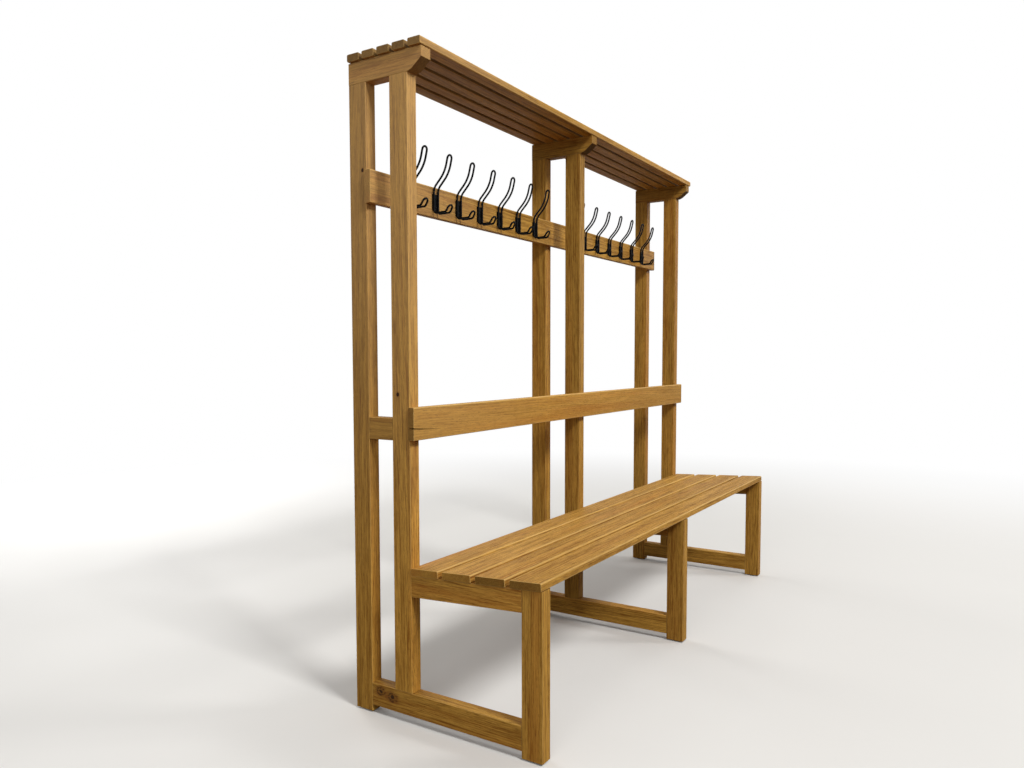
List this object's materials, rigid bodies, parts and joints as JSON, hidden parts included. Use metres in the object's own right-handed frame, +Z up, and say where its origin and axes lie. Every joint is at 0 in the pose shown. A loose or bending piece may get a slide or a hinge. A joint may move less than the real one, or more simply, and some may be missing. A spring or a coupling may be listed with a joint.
{
  "type": "slatted cloakroom bench",
  "caption": "Open oak cloakroom bench: slatted seat, backrest board, rail of black wire coat hooks and a slatted top shelf on tenoned frames.",
  "frame": {"origin": "centre of the footprint, on the floor under the foot glides", "axes": "+X along the length to the right as seen from the front, +Y towards the rear, +Z up; the seat faces -Y"},
  "size_m": [2, 0.606, 1.8],
  "materials": {
    "oak": "oiled, satin",
    "black_wire": "black powder coat",
    "black_screw": "blackened steel",
    "zinc_screw": "zinc plated",
    "dowel": "bare beech",
    "glide": "matt black"
  },
  "bodies": {
    "root": {"left_rear_post": "oak", "left_front_post": "oak", "left_leg": "oak", "left_bottom_rail": "oak", "left_seat_rail": "oak", "left_spacer": "oak", "left_shelf_bearer": "oak", "middle_rear_post": "oak", "middle_front_post": "oak", "middle_leg": "oak", "middle_bottom_rail": "oak", "middle_seat_rail": "oak", "middle_spacer": "oak", "middle_shelf_bearer": "oak", "right_rear_post": "oak", "right_front_post": "oak", "right_leg": "oak", "right_bottom_rail": "oak", "right_seat_rail": "oak", "right_spacer": "oak", "right_shelf_bearer": "oak", "seat_slat_1": "oak", "seat_slat_2": "oak", "seat_slat_3": "oak", "seat_slat_4": "oak", "shelf_slat_1": "oak", "shelf_slat_2": "oak", "shelf_slat_3": "oak", "shelf_slat_4": "oak", "shelf_slat_5": "oak", "backrest": "oak", "hook_rail": "oak", "hook_01": "black_wire", "hook_02": "black_wire", "hook_03": "black_wire", "hook_04": "black_wire", "hook_05": "black_wire", "hook_06": "black_wire", "hook_07": "black_wire", "hook_08": "black_wire", "hook_09": "black_wire", "hook_10": "black_wire", "hook_11": "black_wire", "hook_12": "black_wire", "hook_13": "black_wire", "hook_14": "black_wire", "hook_plates": "black_wire", "hook_screws": "black_screw", "seat_slat_screws": "zinc_screw", "shelf_slat_screws": "zinc_screw", "hook_rail_screws": "zinc_screw", "dowels": "dowel", "foot_glides": "glide"}
  },
  "joints": []
}
